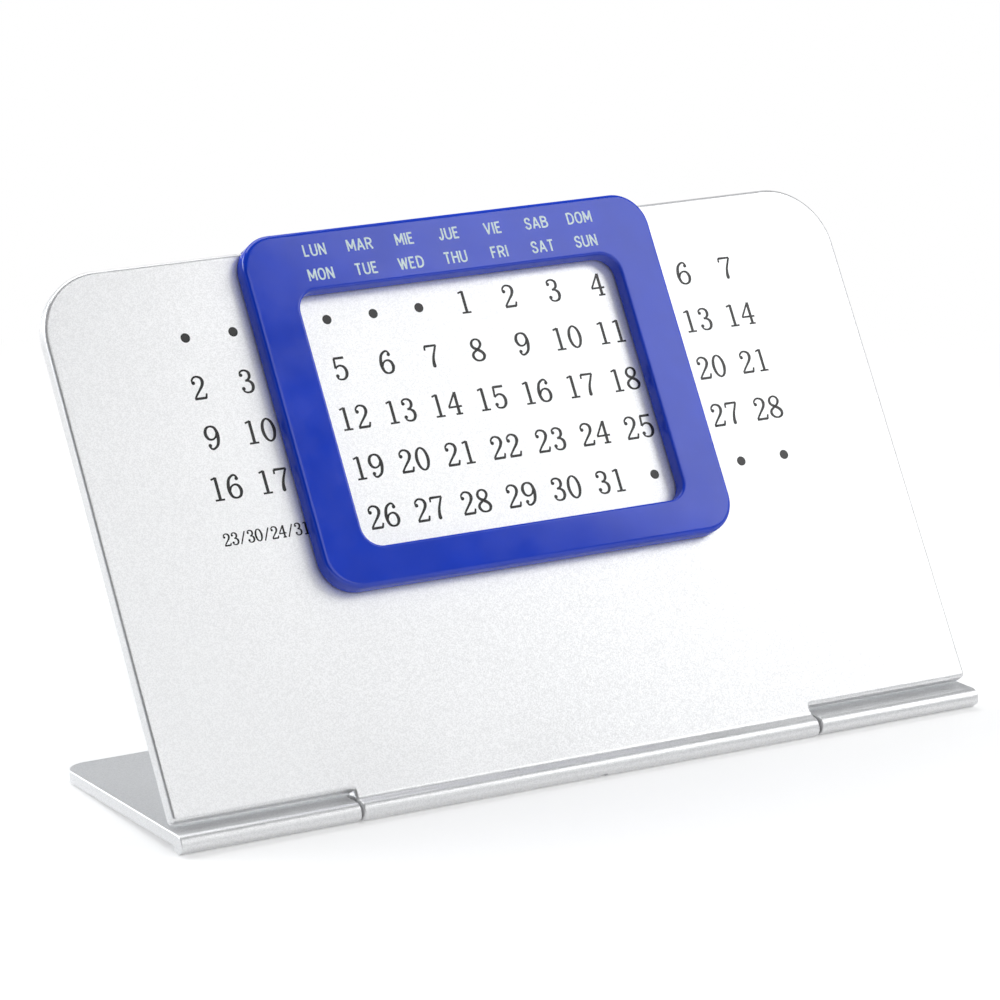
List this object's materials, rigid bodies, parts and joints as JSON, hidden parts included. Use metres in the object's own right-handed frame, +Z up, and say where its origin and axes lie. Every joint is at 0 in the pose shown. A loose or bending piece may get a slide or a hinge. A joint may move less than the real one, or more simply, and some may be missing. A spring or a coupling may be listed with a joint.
{
  "type": "perpetual desk calendar",
  "caption": "Desk calendar whose printed panel leans back on a hinged base plate, with a window frame that slides along the panel to set the month's first weekday.",
  "frame": {"origin": "on the table, at the middle of the box round the calendar as it stands with its frame near the middle", "axes": "+X along the width to the reader's right, +Y to the back, away from the reader, +Z up"},
  "size_m": [0.1508, 0.0568, 0.0843],
  "materials": {
    "silver_paint": "moulded plastic sprayed with a fine silver flake, satin",
    "blue_plastic": "moulded royal blue plastic, glossy",
    "pin_steel": "bright drawn steel wire"
  },
  "bodies": {
    "base": {"base_plate": "silver_paint", "hinge_pin_left": "pin_steel", "hinge_pin_right": "pin_steel"},
    "panel": {"calendar_panel": "silver_paint"},
    "slider": {"slider_frame": "blue_plastic"}
  },
  "joints": [
    {"name": "panel_hinge", "type": "hinge", "parent": "base", "child": "panel", "pos_m": [0, -0.02675, 0.00165], "axis": [1, 0, 0], "range_deg": [0, 286]},
    {"name": "frame_slide", "type": "slide", "parent": "panel", "child": "slider", "axis": [1, 0, 0], "range_m": [-0.02545, 0.02645]}
  ]
}
